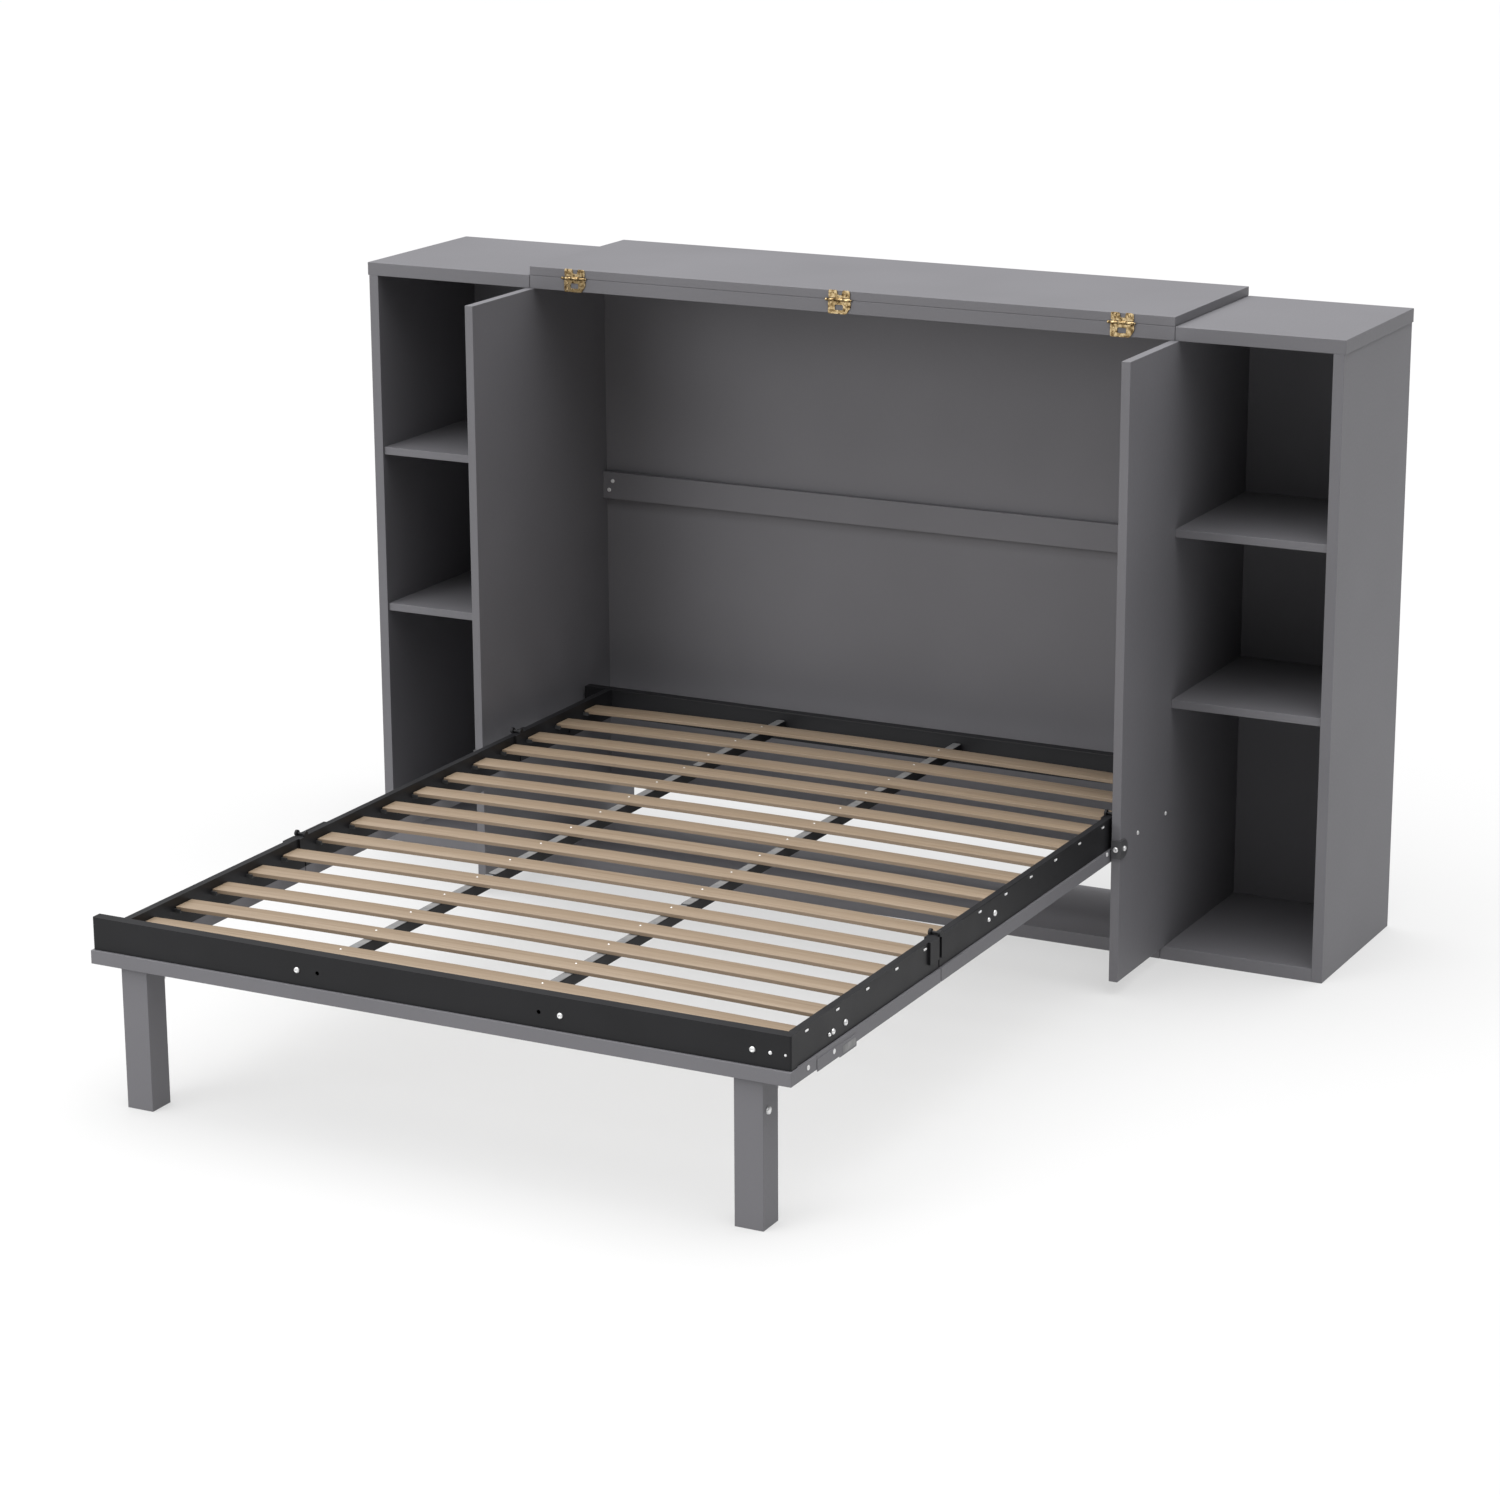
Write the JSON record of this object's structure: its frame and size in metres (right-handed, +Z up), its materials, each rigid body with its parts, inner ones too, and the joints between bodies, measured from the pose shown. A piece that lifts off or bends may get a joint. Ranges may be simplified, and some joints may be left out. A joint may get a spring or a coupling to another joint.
{
  "type": "murphy wall bed",
  "caption": "Wide low wall-bed cabinet with open shelf towers, a folding lid, and a slatted steel bed base that folds out of the middle bay onto two legs.",
  "frame": {"origin": "on the floor at the middle of the bay's width and half the cabinet's depth", "axes": "+X along the cabinet to the right as seen from the foot of the bed, +Y from the foot towards the wall, +Z up"},
  "size_m": [2.379, 2.212, 1.4214],
  "materials": {
    "grey_board": "satin grey painted board",
    "black_steel": "black powder coat",
    "grey_steel": "dark grey powder coat",
    "slat_wood": "clear satin beech",
    "brass": "bright brass plating",
    "zinc_steel": "zinc plated",
    "black_plastic": "moulded"
  },
  "bodies": {
    "cabinet": {"left_outer_panel": "grey_board", "left_tower_top": "grey_board", "left_tower_bottom": "grey_board", "left_tower_back": "grey_board", "left_upper_shelf": "grey_board", "left_lower_shelf": "grey_board", "right_outer_panel": "grey_board", "right_tower_top": "grey_board", "right_tower_bottom": "grey_board", "right_tower_back": "grey_board", "right_upper_shelf": "grey_board", "right_lower_shelf": "grey_board", "shelf_pins": "zinc_steel", "left_bay_panel": "grey_board", "right_bay_panel": "grey_board", "centre_top": "grey_board", "bay_bottom": "grey_board", "bay_back_panel": "grey_board", "bay_cross_rail": "grey_board", "cross_rail_screws": "zinc_steel", "top_hinge_fixed_leaves": "brass", "top_hinge_pins": "brass", "head_left_rail": "black_steel", "head_right_rail": "black_steel", "head_end_rail": "black_steel", "head_centre_bars": "black_steel", "head_slats": "slat_wood", "head_slat_holders": "black_plastic", "head_hinge_lugs": "black_steel", "head_fold_pins": "black_steel", "head_section_studs": "zinc_steel", "panel_clips": "grey_steel", "panel_clip_bolts": "zinc_steel"},
    "lid": {"top_flap": "grey_board", "top_hinge_moving_leaves": "brass"},
    "mid_section": {"mid_left_rail": "black_steel", "mid_right_rail": "black_steel", "mid_centre_bars": "black_steel", "mid_left_strip": "grey_board", "mid_right_strip": "grey_board", "mid_slats": "slat_wood", "mid_slat_holders": "black_plastic", "mid_hinge_lugs": "black_steel", "mid_fold_pins": "black_steel"},
    "foot_section": {"foot_left_rail": "black_steel", "foot_right_rail": "black_steel", "foot_end_rail": "black_steel", "foot_centre_bars": "black_steel", "foot_board": "grey_board", "foot_left_strip": "grey_board", "foot_right_strip": "grey_board", "foot_slats": "slat_wood", "foot_slat_holders": "black_plastic", "foot_hinge_lugs": "black_steel", "foot_rail_bolts": "zinc_steel", "leg_hinge_fixed_leaves": "black_steel"},
    "left_leg_unit": {"left_leg": "grey_board", "left_leg_fittings": "zinc_steel"},
    "right_leg_unit": {"right_leg": "grey_board", "right_leg_fittings": "zinc_steel"}
  },
  "joints": [
    {"name": "lid_hinge", "type": "hinge", "parent": "cabinet", "child": "lid", "pos_m": [0, -0.2242, 1.4002], "axis": [1, 0, 0], "range_deg": [0, 180]},
    {"name": "bed_fold", "type": "hinge", "parent": "cabinet", "child": "mid_section", "pos_m": [0, -0.458, 0.394], "axis": [-1, 0, 0], "range_deg": [0, 90]},
    {"name": "foot_fold", "type": "hinge", "parent": "mid_section", "child": "foot_section", "pos_m": [0, -1.346, 0.394], "axis": [-1, 0, 0], "range_deg": [0, 180]},
    {"name": "left_leg_fold", "type": "hinge", "parent": "foot_section", "child": "left_leg_unit", "pos_m": [-0.678, -1.916, 0.291], "axis": [1, 0, 0], "range_deg": [0, 90]},
    {"name": "right_leg_fold", "type": "hinge", "parent": "foot_section", "child": "right_leg_unit", "pos_m": [0.678, -1.916, 0.291], "axis": [1, 0, 0], "range_deg": [0, 90]}
  ],
  "couplings": [
    {"joint": "foot_fold", "follows": "bed_fold", "ratio": 2},
    {"joint": "left_leg_fold", "follows": "bed_fold", "ratio": 1},
    {"joint": "right_leg_fold", "follows": "bed_fold", "ratio": 1}
  ]
}
